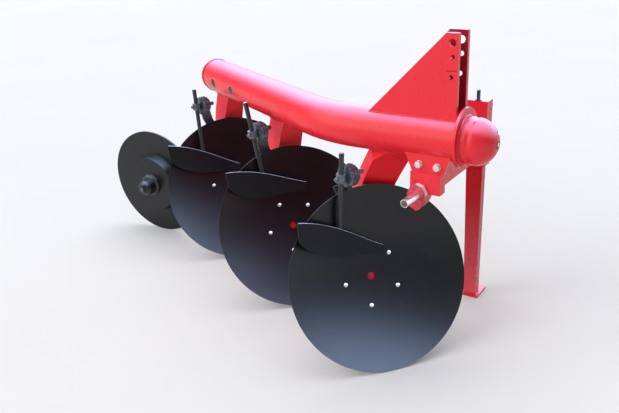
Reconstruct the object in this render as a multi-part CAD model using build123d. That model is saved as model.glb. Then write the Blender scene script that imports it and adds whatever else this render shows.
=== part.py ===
from build123d import *
from math import cos, sin, pi, radians, sqrt
import os

os.makedirs("parts", exist_ok=True)

# Mounted three-disc tube-beam disc plough. All lengths in mm.
# +X is the direction of travel, +Y the left side, Z = 0 the ground the discs stand on.
# The ground point under the centre of the front disc is the layout origin.

# centre of the whole plough's outline on the ground, which becomes the origin
ORIGIN_X = -716.67
ORIGIN_Y = 278.525

# discs
UNITS = 3
DISC_R = 330.0
DISC_T = 6.0
DISH = 80.0
DISC_YAW = 38.7
DISC_TILT = 21.0
DISC_BORE_R = 14.0
STEP_X = -508.0
STEP_Y = 248.0

# hubs, bearing housings and legs
FLANGE_R = 125.0
FLANGE_BACK = 98.0
FLANGE_FRONT = 60.0
SPINDLE_R = 25.0
SPINDLE_END = 200.0
SPINDLE_GAP = 6.0
RUN_GAP = 0.05
HOUSING_R = 62.0
HOUSING_FRONT = 106.0
HOUSING_BACK = 214.0

# beam
BEAM_R = 75.0
BEAM_WALL = 10.0
BEAM_OVER_DISC = 163.51
FRONT_X = 240.0
FRONT_Y = 138.0
FRONT_LEN = 384.0
BEND_R = 510.0
BEND = 27.6
REAR_OVERHANG = 225.0
END_CAP_T = 10.0
END_CAP_FILLET = 5.0
REAR_HOLE_R = 22.0
REAR_HOLES = (131.0, 326.0)
REAR_HOLE_DROP = 8.0
FLANGE_PLATE_R = 100.0
FLANGE_PLATE_T = 10.0
FLANGE_RISE = 8.0
DOME_R = 80.0
DOME_SKIRT = 27.0
DOME_WALL = 8.0
DOME_HOLE_R = 8.0

# mast: heights are measured down from its top
MAST_T = 16.0
MAST_GAP = 60.0
MAST_Y = 104.0
MAST_RISE = 343.0
MAST_FRONT = 216.0
MAST_FRONT_LEAN = 2.0
MAST_REAR = -98.0
MAST_FOOT_RISE = 69.0
MAST_TOP_REAR = (173.0, 153.0)
TOP_LINK_R = 12.8
SPARE_R = 8.0
TOP_LINK = (193.0, 30.0)
SPARE_HOLES = ((195.0, 74.0), (192.0, 137.0))

# cross tube, its clamp and the lower link pins: drops are measured down from the beam axis
CROSS = 80.0
CROSS_WALL = 8.0
CROSS_X = 143.0
CROSS_DROP = 114.0
CROSS_NEAR = 112.0
CLAMP_Y = 80.0
CLAMP_T = 12.0
CLAMP = ((51, 48), (211, 48), (190, 110), (77, 110))
BLOCK_DEPTH = 40.0
BLOCK_PROUD = 8.0
BLOCK_X = (75.0, 183.0)
BLOCK_DROP = (110.0, 182.0)
CRANK_T = 26.0
CRANK = ((-24, 31), (-4, 31), (15, 26), (27, 4), (24, -24), (10, -50), (-6, -63), (-34, -50), (-42, -5))
LUG = ((-32, 75), (38, 75), (40, 15), (34, -19), (0, -37), (-24, -19), (-32, 13))
LUG_BOSS_R = 24.0
PIN_R = 14.0
PIN_LEN = 88.0
PIN_X = 112.0
PIN_DROP = 179.0
PIN_DROOP = 3.0
PIN_SWING = 4.0
LINK_SPAN = 683.0
LINCH_R = 5.0
LINCH_BACK = 14.0

# parking stand
STAND_X = (70.0, 156.0)
STAND_Y = (560.0, 616.0)
STAND_RISE = 23.0
SLEEVE_LEN = 255.0
SLEEVE_WALL = 5.0
POST_CLEAR = 5.2
POST_WALL = 5.0
GUIDE_GAP = 0.2
GUIDE_LEN = 25.0
GUIDE_STEP = 48.0
POST_IN = 80.0
POST_TAPER = 14.0
FOOT_T = 8.0
FOOT_X = (92.0, 158.0)
FOOT_Y = (558.0, 660.0)

# tail wheel
TAIL_X = -1515.0
TAIL_Y = 461.0
TAIL_R = 265.0
TAIL_YAW = 87.6
TAIL_TILT = -3.0
TAIL_T = 8.0
TAIL_DRUM_R = 150.0
TAIL_DRUM_TIP_R = 138.0
TAIL_DRUM_H = 40.0
TAIL_DRUM_WALL = 8.0
TAIL_HUB = ((56, 0), (54, 7), (43, 14), (38, 48), (30, 60), (24, 66))
TAIL_AXLE_R = 20.0
TAIL_AXLE = (-100.0, 94.0)
TAIL_BOSS_R = 36.0
TAIL_BOSS = (-104.0, -52.0)
ARM_R = 26.0
ARM_SHARE = 0.36

YAW = radians(DISC_YAW)
TILT = radians(DISC_TILT)
ACROSS = Vector(sin(YAW), cos(YAW), 0)
FACING = Vector(cos(YAW), -sin(YAW), 0)
NORMAL = Vector(cos(YAW) * cos(TILT), -sin(YAW) * cos(TILT), sin(TILT))
DISH_R = (DISC_R ** 2 + DISH ** 2) / (2 * DISH)
DISH_C = DISH_R - DISH
RIM_T = sqrt((DISH_R + DISC_T) ** 2 - DISC_R ** 2) - DISH_C
DISC_Z = DISC_R * cos(TILT) + RIM_T * sin(TILT)
BEAM_Z = DISC_Z + DISC_R + BEAM_OVER_DISC


def unit_plane(k):
    # rim plane of disc k: x across the disc, y up its face, z out of the concave side
    centre = (STEP_X * k, STEP_Y * k, DISC_Z)
    return Plane(origin=centre, x_dir=ACROSS, z_dir=NORMAL)


def place(k, solid):
    return unit_plane(k).location * solid


def save(solid, name):
    solid = Pos(-ORIGIN_X, -ORIGIN_Y, 0) * solid
    solid.label = name
    export_step(solid, "parts/" + name + ".step")


def biggest(solid):
    return solid.solids().sort_by(SortBy.VOLUME)[-1]


def bar(start, end, radius):
    start = Vector(*start)
    end = Vector(*end)
    axis = Plane(origin=start, z_dir=end - start)
    return axis.location * Cylinder(radius, (end - start).length, align=(Align.CENTER, Align.CENTER, Align.MIN))


def block(x0, x1, y0, y1, z0, z1):
    solid = Box(x1 - x0, y1 - y0, z1 - z0)
    return Pos((x0 + x1) / 2, (y0 + y1) / 2, (z0 + z1) / 2) * solid


def drum(radius, z0, z1):
    return Pos(0, 0, (z0 + z1) / 2) * Cylinder(radius, z1 - z0)


def prism(points, plane, depth):
    outline = make_face(Polyline(*points, close=True))
    return extrude(plane * outline, depth)


def dish_z(r, radius):
    return DISH_C - sqrt(radius ** 2 - r ** 2)


def dish_shell(r0, r1, front, back):
    # spherical shell between two radii about the dish centre, from r0 out to r1
    rm = (r0 + r1) / 2
    a = ThreePointArc((r0, dish_z(r0, front)), (rm, dish_z(rm, front)), (r1, dish_z(r1, front)))
    b = ThreePointArc((r0, dish_z(r0, back)), (rm, dish_z(rm, back)), (r1, dish_z(r1, back)))
    ends = [Line(a @ 0, b @ 0), Line(a @ 1, b @ 1)]
    return revolve(Plane.XZ * make_face([a, b] + ends), Axis.Z)


# discs and their turning hubs
disc = dish_shell(DISC_BORE_R, DISC_R, DISH_R, DISH_R + DISC_T)
hub = drum(FLANGE_R, -FLANGE_BACK, -FLANGE_FRONT)
hub -= dish_shell(0.001, 1.5 * FLANGE_R, DISH_R - FLANGE_BACK, DISH_R + DISC_T)
hub = hub.solids().sort_by(Axis.Z)[0]
hub += drum(SPINDLE_R, -SPINDLE_END, -FLANGE_BACK)

# bearing housing with a blind bore for the spindle
housing_hull = drum(HOUSING_R, -HOUSING_BACK, -HOUSING_FRONT)
housing = housing_hull - drum(SPINDLE_R + RUN_GAP, -SPINDLE_END - SPINDLE_GAP, -HOUSING_FRONT)

for k in range(UNITS):
    save(place(k, disc), f"disc_{k + 1}")
    save(place(k, hub), f"disc_hub_{k + 1}")
    save(place(k, housing), f"bearing_housing_{k + 1}")

# beam centreline, from the front end to the rear end
bend_start = Vector(FRONT_X - FRONT_LEN, FRONT_Y, BEAM_Z)
turn = radians(BEND)
bend_mid = bend_start + Vector(-BEND_R * sin(turn / 2), BEND_R * (1 - cos(turn / 2)), 0)
bend_end = bend_start + Vector(-BEND_R * sin(turn), BEND_R * (1 - cos(turn)), 0)
rear_dir = Vector(-cos(turn), sin(turn), 0)
# the rear run ends a set overhang past the last disc
rear_len = (unit_plane(UNITS - 1).origin - bend_end).dot(rear_dir) + REAR_OVERHANG
rear_end = bend_end + rear_dir * rear_len
front_end = Vector(FRONT_X, FRONT_Y, BEAM_Z)
path = Line(front_end, bend_start) + ThreePointArc(bend_start, bend_mid, bend_end)
path += Line(bend_end, rear_end)
section = Plane(origin=front_end, x_dir=(0, 1, 0), z_dir=(-1, 0, 0))
beam_hull = sweep(section * Circle(BEAM_R), path=path)
beam = beam_hull - sweep(section * Circle(BEAM_R - BEAM_WALL), path=path)

# two level holes through the rear run, square to it and a little under its axis
hole_reach = Vector(sin(turn), cos(turn), 0) * 2 * BEAM_R
for back in REAR_HOLES:
    root = rear_end - rear_dir * back - Vector(0, 0, REAR_HOLE_DROP)
    beam -= bar(root - hole_reach, root + hole_reach, REAR_HOLE_R)
save(beam, "beam_tube")

cap_plane = Plane(origin=rear_end, z_dir=rear_dir)
end_cap = cap_plane.location * drum(BEAM_R, 0, END_CAP_T)
cap_rim = end_cap.edges().filter_by(GeomType.CIRCLE).sort_by(Axis((0, 0, 0), rear_dir))[-1]
save(fillet(cap_rim, END_CAP_FILLET), "beam_end_cap")

# flange and domed cap on the front end
front_plane = Plane(origin=(FRONT_X, FRONT_Y, BEAM_Z), x_dir=(0, 1, 0), z_dir=(1, 0, 0))
collar = Pos(0, FLANGE_RISE, 0) * drum(FLANGE_PLATE_R, -FLANGE_PLATE_T, 0)
collar -= drum(BEAM_R, -FLANGE_PLATE_T, 0)
collar = front_plane.location * collar
save(collar, "front_flange")

def dome_solid(radius):
    ball = Pos(0, 0, DOME_SKIRT) * Sphere(radius)
    return drum(radius, 0, DOME_SKIRT) + (ball - drum(radius + 1, -radius, DOME_SKIRT - 0.001))

dome = dome_solid(DOME_R) - dome_solid(DOME_R - DOME_WALL)
dome -= bar((0, 0, 60), (0, 0, 140), DOME_HOLE_R)
save(front_plane.location * dome, "front_dome")

# mast: two upright plates on the beam, with the top link between them
mast_top = BEAM_Z + MAST_RISE


def mast_plate(y0, top_rear):
    outline = [(MAST_FRONT - MAST_FRONT_LEAN, mast_top), (top_rear, mast_top)]
    outline += [(MAST_REAR, BEAM_Z + MAST_FOOT_RISE), (MAST_REAR, BEAM_Z), (MAST_FRONT, BEAM_Z)]
    upright = Plane(origin=(0, y0, 0), x_dir=(1, 0, 0), z_dir=(0, -1, 0))
    plate = prism(outline, upright, -MAST_T)
    for (x, down), radius in ((TOP_LINK, TOP_LINK_R), (SPARE_HOLES[0], SPARE_R), (SPARE_HOLES[1], SPARE_R)):
        z = mast_top - down
        plate -= bar((x, y0 - 5, z), (x, y0 + MAST_T + 5, z), radius)
    return biggest(plate - beam_hull)


save(mast_plate(MAST_Y, MAST_TOP_REAR[0]), "mast_plate_right")
save(mast_plate(MAST_Y + MAST_T + MAST_GAP, MAST_TOP_REAR[1]), "mast_plate_left")

# legs: closed box section, bowed back between the beam and the bearing housing
# columns: offset across, offset ahead, share of the height up to the beam axis, width, depth, turn
LEG_FOOT = (0, 0, 0, 96, 74, 0)
SHOULDER_DROP = 91.6
LEGS = (
    ((112, 45, 0.945, 138, 84, -8), (76, -20, 0.707, 131, 84, -8), (14, -50, 0.36, 110, 80, 0), LEG_FOOT),
    ((18, 42, 0.945, 113, 82, 28), (17, -40, 0.707, 120, 80, 22), (7, -58, 0.36, 103, 80, 10), LEG_FOOT),
    ((30, 40, 0.945, 92, 82, 27), (24, -36, 0.707, 102, 82, 24), (10, -58, 0.36, 104, 80, 8), LEG_FOOT),
)


def leg_point(k, across, ahead, share):
    foot = unit_plane(k).origin - NORMAL * ((HOUSING_FRONT + HOUSING_BACK) / 2)
    side = ACROSS * across + FACING * ahead
    return Vector(foot.X + side.X, foot.Y + side.Y, foot.Z + share * (BEAM_Z - foot.Z))


def leg_loft(k):
    faces = []
    for across, ahead, share, wide, deep, swing in LEGS[k]:
        level = Plane(origin=leg_point(k, across, ahead, share), x_dir=ACROSS, z_dir=(0, 0, 1))
        faces.append(level * Rot(0, 0, swing) * Rectangle(wide, deep))
    return loft(faces)


# the front leg ends in a sloped shoulder under the near side of the beam
shoulder_point = Vector(-60.5, 92.9, BEAM_Z - SHOULDER_DROP)
shoulder = Plane(origin=shoulder_point, z_dir=Vector(-0.237, -0.543, 0.806))

legs = []
for k in range(UNITS):
    body = leg_loft(k)
    if k == 0:
        body = split(body, bisect_by=shoulder, keep=Keep.BOTTOM)
    leg = biggest(body - beam_hull - place(k, housing_hull))
    legs.append(leg)
    save(leg, f"leg_{k + 1}")

# scrapers: a curved blade standing in each dish, its rod, and the toothed bracket from the leg
# places across and up the disc are shares of its radius, distances off the rim plane are lengths
BLADE_TOP = ((-0.85, 0.715), (-0.47, 0.627), (-0.23, 0.527), (-0.09, 0.455), (0.18, 0.318))
BLADE_LOW = ((0.164, 0.206), (-0.121, 0.258), (-0.47, 0.303), (-0.715, 0.406), (-0.836, 0.524))
BLADE_PIVOT = (-0.358, 0.621)
BLADE_GAP = 8.0
BLADE_T = 5.0
BLADE_LEAN = (36.0, -48.0, -1.8)
ROD_R = 9.0
ROD_CLEAR = 9.5
COLLAR_R = 18.0
COLLAR_LEN = 30.0
TEETH = 18
TOOTH = 3.5
KNUCKLE_R = 40.0
KNUCKLE_START = 19.0
KNUCKLE_DISCS = 3
KNUCKLE_DISC_T = 9.0
KNUCKLE_STEP = 13.0
KNUCKLE_CORE_R = 35.0
KNUCKLE_BOLT_R = 9.0
STRAP_W = 44.0
STRAP_T = 16.0
STRAP_KNEE = (-0.279, 1.024, -24.0)
STRAP_FOOT = (-0.076, 0.682, -118.0)
SCRAPERS = (
    dict(turn=0, shift=(-0.018, 0), top=(-0.297, 1.35, 68), low=(-0.339, 0.521),
         hold=0.7, bolt=(-0.027, 1.148, 0)),
    dict(turn=8.8, shift=(0, 0.116), top=(-0.504, 1.552, 96), low=(-0.327, 0.561),
         hold=0.63, bolt=(-0.179, 1.255, 0)),
    dict(turn=2.5, shift=(-0.082, -0.012), top=(-0.461, 1.409, 82), low=(-0.412, 0.424),
         hold=0.774, bolt=(-0.194, 1.227, 5)),
)


def on_disc(across, up, off):
    return Vector(across * DISC_R, up * DISC_R, off)


def rod_low(across, up):
    # centre of the rod's low end, a set clearance in front of the dish
    flat = sqrt(across ** 2 + up ** 2) * DISC_R
    lean = sqrt(1 - (flat / DISH_R) ** 2)
    return on_disc(across, up, dish_z(flat, DISH_R) + (ROD_R + ROD_CLEAR) / lean)


def toothed(radius, thick):
    points = []
    for i in range(2 * TEETH):
        r = radius - TOOTH * (i % 2)
        points.append((r * cos(pi * i / TEETH), r * sin(pi * i / TEETH)))
    return prism(points, Plane.XY, thick)


def knuckle(length):
    # toothed discs stacked along z on a core, with the clamp bolt through them
    end = KNUCKLE_START + KNUCKLE_DISCS * KNUCKLE_STEP
    stack = drum(KNUCKLE_CORE_R, KNUCKLE_START, end) + drum(KNUCKLE_BOLT_R, 0, length)
    for i in range(KNUCKLE_DISCS):
        stack += Pos(0, 0, KNUCKLE_START + i * KNUCKLE_STEP) * toothed(KNUCKLE_R, KNUCKLE_DISC_T)
    return stack


def strap(start):
    faces = []
    for point in (start, on_disc(*STRAP_KNEE), on_disc(*STRAP_FOOT)):
        faces.append(Plane(origin=point, x_dir=(1, 0, 0), z_dir=(0, 1, 0)) * Rectangle(STRAP_W, STRAP_T))
    return loft(faces, ruled=True)


pivot = on_disc(*BLADE_PIVOT, 0)
blade_top = [on_disc(x, y, 0) for x, y in BLADE_TOP]
blade_low = [on_disc(x, y, 0) for x, y in BLADE_LOW]
blade_edges = [Spline(*blade_top), Line(blade_top[-1], blade_low[0])]
blade_edges += [Spline(*blade_low), Line(blade_low[-1], blade_top[0])]
blade_face = make_face(blade_edges)
blade_centre = Pos(*BLADE_LEAN)
blade_far = DISH_R - BLADE_GAP
BLADE_REACH = 1.45 * DISC_R
shell = blade_centre * dish_shell(0.06 * DISC_R, BLADE_REACH, blade_far - BLADE_T, blade_far)
backing = blade_centre * dish_shell(0.06 * DISC_R, BLADE_REACH, blade_far - 8 * BLADE_T, blade_far)
for k, data in enumerate(SCRAPERS):
    shift = on_disc(*data["shift"], 0)
    outline = Pos(pivot + shift) * Rot(0, 0, data["turn"]) * Pos(-pivot) * blade_face
    column = Pos(0, 0, -DISC_R / 2) * extrude(outline, DISC_R)
    save(place(k, biggest(shell & column)), f"scraper_blade_{k + 1}")

    top = on_disc(*data["top"])
    low = rod_low(*data["low"])
    rod = biggest(bar(low, top, ROD_R) - (backing & column))
    save(place(k, rod), f"scraper_rod_{k + 1}")

    along = (top - low).normalized()
    grip = low + (top - low) * data["hold"]
    reach = on_disc(*data["bolt"]) - grip
    seat = grip + reach.normalized() * (KNUCKLE_START + 2 * KNUCKLE_STEP)
    holder = Plane(origin=grip, x_dir=along, z_dir=reach).location * knuckle(reach.length)
    holder += bar(grip - along * COLLAR_LEN / 2, grip + along * COLLAR_LEN / 2, COLLAR_R)
    holder += strap(seat - Vector(0, KNUCKLE_R / 2, 0))
    holder -= bar(low, top, ROD_R)
    save(biggest(place(k, holder) - legs[k]), f"scraper_bracket_{k + 1}")

# clamp under the beam, cross tube and the two lower link pins
def upright_at(y, x=0, z=0):
    # looks along +Y from the right side, x ahead and y up, extruding by a negative depth goes left
    return Plane(origin=(x, y, z), x_dir=(1, 0, 0), z_dir=(0, -1, 0))


clamp_outline = [(x, BEAM_Z - drop) for x, drop in CLAMP]
save(prism(clamp_outline, upright_at(CLAMP_Y), -CLAMP_T) - beam_hull, "clamp_plate")
block_low = BEAM_Z - BLOCK_DROP[1]
block_top = BEAM_Z - BLOCK_DROP[0]
block_y = CLAMP_Y - BLOCK_PROUD
clamp_block = block(*BLOCK_X, block_y, block_y + BLOCK_DEPTH, block_low, block_top)
save(clamp_block, "clamp_block")
cross_z = BEAM_Z - CROSS_DROP
half = CROSS / 2
inner = half - CROSS_WALL
cross = block(CROSS_X - half, CROSS_X + half, CROSS_NEAR, STAND_Y[0], cross_z - half, cross_z + half)
cross -= block(CROSS_X - inner, CROSS_X + inner, CROSS_NEAR, STAND_Y[0], cross_z - inner, cross_z + inner)
save(cross - beam_hull, "cross_tube")

pin_z = BEAM_Z - PIN_DROP
droop = radians(PIN_DROOP)
near_shoulder = Vector(PIN_X, CLAMP_Y - CRANK_T, pin_z)
far_shoulder = Vector(PIN_X, CLAMP_Y - CRANK_T + LINK_SPAN, pin_z)
swing = radians(PIN_SWING)
near_dir = Vector(-sin(swing) * cos(droop), -cos(swing) * cos(droop), -sin(droop))
far_dir = Vector(0, 1, 0)
near_face = Plane(origin=near_shoulder, x_dir=(1, 0, 0), z_dir=near_dir)
crank = prism(CRANK, near_face, -2 * CRANK_T)
crank -= block(PIN_X - 90, PIN_X + 90, block_y, CLAMP_Y + 90, block_low, block_top)
save(crank, "crank_plate_right")
lug_outline = [(x, z) for x, z in LUG]
lug = prism(lug_outline, upright_at(STAND_Y[1], PIN_X, pin_z), -CRANK_T)
lug += bar((PIN_X, STAND_Y[1] + CRANK_T, pin_z), far_shoulder, LUG_BOSS_R)
save(lug, "crank_plate_left")


def link_pin(start, way):
    pin = bar(start, start + way * PIN_LEN, PIN_R)
    hole = start + way * (PIN_LEN - LINCH_BACK)
    across = way.cross(Vector(1, 0, 0)) * 2 * PIN_R
    return pin - bar(hole - across, hole + across, LINCH_R)


save(link_pin(near_shoulder, near_dir), "link_pin_right")
save(link_pin(far_shoulder, far_dir), "link_pin_left")

# parking stand: sleeve on the end of the cross tube, sliding post and foot
def stand_box(inset, z0, z1):
    return block(STAND_X[0] + inset, STAND_X[1] - inset, STAND_Y[0] + inset, STAND_Y[1] - inset, z0, z1)


stand_top = BEAM_Z + STAND_RISE
sleeve_low = stand_top - SLEEVE_LEN
sleeve = stand_box(0, sleeve_low, stand_top) - stand_box(SLEEVE_WALL, sleeve_low, stand_top - SLEEVE_WALL)
guide_in = SLEEVE_WALL + POST_CLEAR - GUIDE_GAP
for z0 in (sleeve_low, sleeve_low + GUIDE_STEP):
    z1 = z0 + GUIDE_LEN
    sleeve += stand_box(SLEEVE_WALL, z0, z1) - stand_box(guide_in, z0, z1)
save(sleeve, "stand_sleeve")


def post_solid(inset):
    # rear face leans in towards the foot, the other three faces are upright
    gap = SLEEVE_WALL + POST_CLEAR + inset
    x0 = STAND_X[0] + gap
    x1 = STAND_X[1] - gap
    top = sleeve_low + POST_IN
    outline = [(x0 + POST_TAPER, FOOT_T), (x1, FOOT_T), (x1, top), (x0, top), (x0, sleeve_low - GUIDE_LEN)]
    return prism(outline, upright_at(STAND_Y[1] - gap), STAND_Y[1] - STAND_Y[0] - 2 * gap)


save(post_solid(0) - post_solid(POST_WALL), "stand_post")
save(block(*FOOT_X, *FOOT_Y, 0, FOOT_T), "stand_foot")

# tail wheel on a stub axle, carried by an arm from the rear leg
t_yaw = radians(TAIL_YAW)
t_tilt = radians(TAIL_TILT)
tail_n = Vector(cos(t_yaw) * cos(t_tilt), -sin(t_yaw) * cos(t_tilt), sin(t_tilt))
tail_z = TAIL_R * cos(t_tilt) + TAIL_T / 2 * abs(sin(t_tilt))
tail_plane = Plane(origin=(TAIL_X, TAIL_Y, tail_z), x_dir=(sin(t_yaw), cos(t_yaw), 0), z_dir=tail_n)
tail = tail_plane.location
upwards = (Align.CENTER, Align.CENTER, Align.MIN)
wall = TAIL_DRUM_WALL
drum_end = TAIL_T / 2 + TAIL_DRUM_H
wheel = drum(TAIL_R, -TAIL_T / 2, TAIL_T / 2)
wheel += Pos(0, 0, TAIL_T / 2) * Cone(TAIL_DRUM_R, TAIL_DRUM_TIP_R, TAIL_DRUM_H, align=upwards)
wheel -= drum(TAIL_AXLE_R + RUN_GAP, -TAIL_T, drum_end + TAIL_T)
hollow = Cone(TAIL_DRUM_R - wall, TAIL_DRUM_TIP_R - wall, drum_end + TAIL_T / 2 - wall, align=upwards)
wheel -= Pos(0, 0, -TAIL_T / 2) * hollow
save(tail * wheel, "tail_wheel")
hub_line = [(0, drum_end)] + [(r, drum_end + h) for r, h in TAIL_HUB] + [(0, drum_end + TAIL_HUB[-1][1])]
tail_hub = revolve(Plane.XZ * make_face(Polyline(*hub_line, close=True)), Axis.Z)
tail_hub -= drum(TAIL_AXLE_R + RUN_GAP, drum_end, TAIL_AXLE[1] + SPINDLE_GAP)
save(tail * tail_hub, "tail_hub")
axle = tail * drum(TAIL_AXLE_R, *TAIL_AXLE)
save(axle, "tail_axle")
arm_root = leg_point(UNITS - 1, 0, -50, ARM_SHARE)
arm_tip = (tail * Pos(0, 0, sum(TAIL_BOSS) / 2)).position
arm = bar(arm_root, arm_tip, ARM_R) + tail * drum(TAIL_BOSS_R, *TAIL_BOSS)
save(biggest(arm - legs[-1] - axle), "tail_arm")
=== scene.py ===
import math
import bmesh
import bpy
import numpy as np
from mathutils import Matrix


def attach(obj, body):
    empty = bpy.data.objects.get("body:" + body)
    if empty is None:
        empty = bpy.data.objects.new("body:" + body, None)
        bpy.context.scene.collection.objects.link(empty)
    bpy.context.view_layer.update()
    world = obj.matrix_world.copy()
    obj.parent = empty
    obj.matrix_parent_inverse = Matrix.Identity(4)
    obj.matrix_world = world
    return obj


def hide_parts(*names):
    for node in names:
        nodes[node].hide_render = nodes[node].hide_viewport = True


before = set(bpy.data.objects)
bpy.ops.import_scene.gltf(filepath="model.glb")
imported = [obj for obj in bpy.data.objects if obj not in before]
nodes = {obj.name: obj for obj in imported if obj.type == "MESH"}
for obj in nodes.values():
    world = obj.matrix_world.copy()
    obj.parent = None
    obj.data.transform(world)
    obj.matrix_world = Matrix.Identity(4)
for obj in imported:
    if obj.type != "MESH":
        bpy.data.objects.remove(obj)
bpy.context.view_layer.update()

ownPieces = []

# places are written in millimetres from the ground point under the front disc, x ahead,
# y left, z up, and one function turns them to the frame's metres
layout = {
    "originX": -716.67,
    "originY": 278.525,
    "discR": 330.0,
    "dish": 80.0,         # depth of the hollow
    "discT": 6.0,
    "discZ": 310.497,     # height of a rim's centre
    "yaw": 38.7,          # degrees, as are tilt and bend
    "tilt": 21.0,
    "stepX": -508.0,      # from one disc to the next
    "stepY": 248.0,
    "beamR": 75.0,
    "beamZ": 804.0,
    "beamY": 138.0,
    "beamFront": 240.0,
    "beamStraight": 384.0,
    "bendR": 510.0,
    "bend": 27.6,
    "rearOverhang": 225.0,
}
up = np.array([0.0, 0.0, 1.0])


# millimetres in the layout to metres in the frame: subtract the origin, divide by a thousand
def toFrame(points):
    shift = np.array([layout["originX"], layout["originY"], 0.0])
    return (np.asarray(points, float) - shift) / 1000.0


# a vector over its own length
def unit(v):
    v = np.asarray(v, float)
    return v / np.linalg.norm(v)


yaw, tilt = math.radians(layout["yaw"]), math.radians(layout["tilt"])
across = np.array([math.sin(yaw), math.cos(yaw), 0.0])
normal = np.array([math.cos(yaw) * math.cos(tilt), -math.sin(yaw) * math.cos(tilt), math.sin(tilt)])
upFace = np.cross(normal, across)
dishR = (layout["discR"] ** 2 + layout["dish"] ** 2) / (2 * layout["dish"])
dishCentre = dishR - layout["dish"]


# centre of disc k's rim: steps back along the row, all at one height
def discCentre(k):
    return np.array([layout["stepX"] * k, layout["stepY"] * k, layout["discZ"]])


# a place on disc k: centre + a across + u up the face + off out of the hollow side
def onDisc(k, a, u, off):
    return discCentre(k) + a * across + u * upFace + off * normal


# height of a ball's surface over the rim plane at radius r: ball centre less the root of R2 - r2
def dishHeight(r, ballR):
    return dishCentre - np.sqrt(ballR ** 2 - r ** 2)


# beam centre line: straight, a bend, straight again
turn = math.radians(layout["bend"])
beamTip = np.array([layout["beamFront"], layout["beamY"], layout["beamZ"]])
bendStart = beamTip - [layout["beamStraight"], 0, 0]
bendPole = bendStart + np.array([0.0, layout["bendR"], 0.0])
bendEnd = bendStart + layout["bendR"] * np.array([-math.sin(turn), 1 - math.cos(turn), 0.0])
rearWay = np.array([-math.cos(turn), math.sin(turn), 0.0])
rearSide = np.array([math.sin(turn), math.cos(turn), 0.0])
rearLen = (discCentre(2) - bendEnd) @ rearWay + layout["rearOverhang"]
rearEnd = bendEnd + rearWay * rearLen


# quads of a rows by cols grid as one index array, wrapped down the rows where asked and always
# round the columns
def gridFaces(rows, cols, wrapRows):
    r = np.arange(rows if wrapRows else rows - 1)[:, None]
    c = np.arange(cols)[None, :]
    r2, c2 = (r + 1) % rows, (c + 1) % cols
    quads = np.stack([r * cols + c, r * cols + c2, r2 * cols + c2, r2 * cols + c], axis=-1)
    return quads.reshape(-1, 4)


# a mesh, lamp or camera as an object in the scene
def addObject(name, data):
    obj = bpy.data.objects.new(name, data)
    bpy.context.scene.collection.objects.link(obj)
    return obj


# several (rows, cols, 3) grids in millimetres become one object in metres: poles and seams are
# merged within a micrometre, faces turned outwards, and edges sharper than the angle stay sharp
def collectGrids(name, grids, sharp):
    points, faces, start = [], [], 0
    for grid, wrapRows in grids:
        rows, cols = grid.shape[:2]
        points.append(toFrame(grid.reshape(-1, 3)))
        faces.append(gridFaces(rows, cols, wrapRows) + start)
        start += rows * cols
    mesh = bpy.data.meshes.new(name)
    mesh.from_pydata(np.concatenate(points).tolist(), [], np.concatenate(faces).tolist())
    shape = bmesh.new()
    shape.from_mesh(mesh)
    bmesh.ops.remove_doubles(shape, verts=shape.verts, dist=1e-6)
    bmesh.ops.dissolve_degenerate(shape, edges=shape.edges, dist=1e-7)
    bmesh.ops.recalc_face_normals(shape, faces=shape.faces)
    shape.to_mesh(mesh)
    shape.free()
    mesh.polygons.foreach_set("use_smooth", np.ones(len(mesh.polygons), bool))
    mesh.set_sharp_from_angle(angle=math.radians(sharp))
    return addObject(name, mesh)


# two unit vectors square to a direction, the first as near as it can be to upright
def axes(direction):
    d = unit(direction)
    near = np.array([1.0, 0.0, 0.0]) if abs(d[2]) > 0.95 else up
    first = unit(near - (near @ d) * d)
    return first, np.cross(d, first), d


# even angles round a full circle
def fullTurn(count):
    return np.linspace(0, 2 * math.pi, count, endpoint=False)


# the way out from an axis at each angle: cos * first + sin * second
def roundWays(angle, first, second):
    return np.cos(angle)[..., None] * first + np.sin(angle)[..., None] * second


# a profile of (radius, height) carried round an axis, as a loop where closed:
# origin + height * axis + radius * (cos * first + sin * second)
def lathe(origin, direction, profile, sides=48, closed=False):
    first, second, d = axes(direction)
    profile = np.asarray(profile, float)
    radius, height = profile[:, 0, None, None], profile[:, 1, None, None]
    return origin + height * d + radius * roundWays(fullTurn(sides), first, second)[None], closed


hexShape = {
    "sides": 36,
    "topShare": 0.97,     # the top circle's radius over half the flats
    "chamfer": 0.55,      # how far the corners are cut, over how far they stand out
}


# a chamfered hexagon: its radius is half the flats over the cosine of the angle from the nearest
# flat's middle, and near the top it is cut back to a circle inside the flats
def hexHead(origin, direction, flats, height, spin=0.0):
    first, second, d = axes(direction)
    angle = fullTurn(hexShape["sides"])
    fromFlat = (angle + math.pi / 6) % (math.pi / 3) - math.pi / 6
    hexR = flats / 2 / np.cos(fromFlat)
    topR = np.full(hexShape["sides"], flats / 2 * hexShape["topShare"])
    flat = np.zeros(hexShape["sides"])
    chamfer = (hexR - flats / 2) * hexShape["chamfer"]
    around = roundWays(angle + math.radians(spin), first, second)
    rows = [(flat, flat), (hexR, flat), (hexR, height - chamfer), (topR, flat + height),
            (flat, flat + height)]
    return np.stack([origin + h[:, None] * d + r[:, None] * around for r, h in rows]), False


# a flat ring with rounded rims, sunk a little into its seat and closed over its hole
def washerAt(origin, direction, outer, thick):
    sunk, rim = -0.3, outer - 0.6
    profile = [(0, sunk), (rim, sunk), (outer, 0.4), (outer, thick - 0.5), (rim, thick), (0, thick)]
    return lathe(origin, direction, profile, 32)


# a plain shank end with a small chamfer
def stubAt(origin, direction, radius, length, chamfer=1.2):
    profile = [(0, 0), (radius, 0), (radius, length - chamfer), (radius - chamfer, length),
               (0, length)]
    return lathe(origin, direction, profile, 20)


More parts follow.
